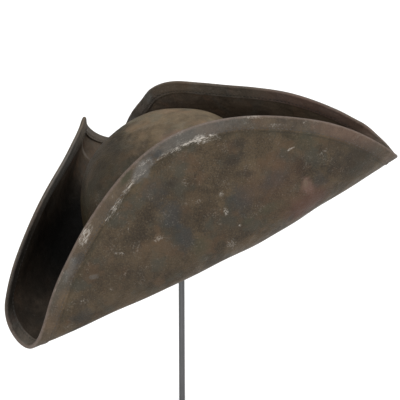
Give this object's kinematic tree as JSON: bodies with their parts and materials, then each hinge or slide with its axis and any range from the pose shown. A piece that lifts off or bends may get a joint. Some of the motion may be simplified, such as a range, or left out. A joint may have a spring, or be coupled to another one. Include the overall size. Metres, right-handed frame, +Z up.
{
  "type": "leather tricorne hat on a rod stand",
  "caption": "Three-cornered hat of worn brown leather with its brim folded up against a round crown, resting on a thin rod stand with a round base.",
  "frame": {"origin": "middle of the stand base's underside, on the surface it stands on", "axes": "+Z up along the rod, -Y the way the hat's front corner points, +X towards the wearer's left"},
  "size_m": [0.3898, 0.3441, 0.4384],
  "materials": {
    "crown_leather": "worn matt leather with a fine grain",
    "brim_leather": "distressed matt leather with stains and scuffs",
    "hem_leather": "dark stitched leather edge",
    "stand_metal": "dark grey satin"
  },
  "bodies": {
    "root": {"crown": "crown_leather", "brim": "brim_leather", "rim_hem": "hem_leather", "stand_rod": "stand_metal", "stand_cap": "stand_metal", "stand_base": "stand_metal"}
  },
  "joints": []
}
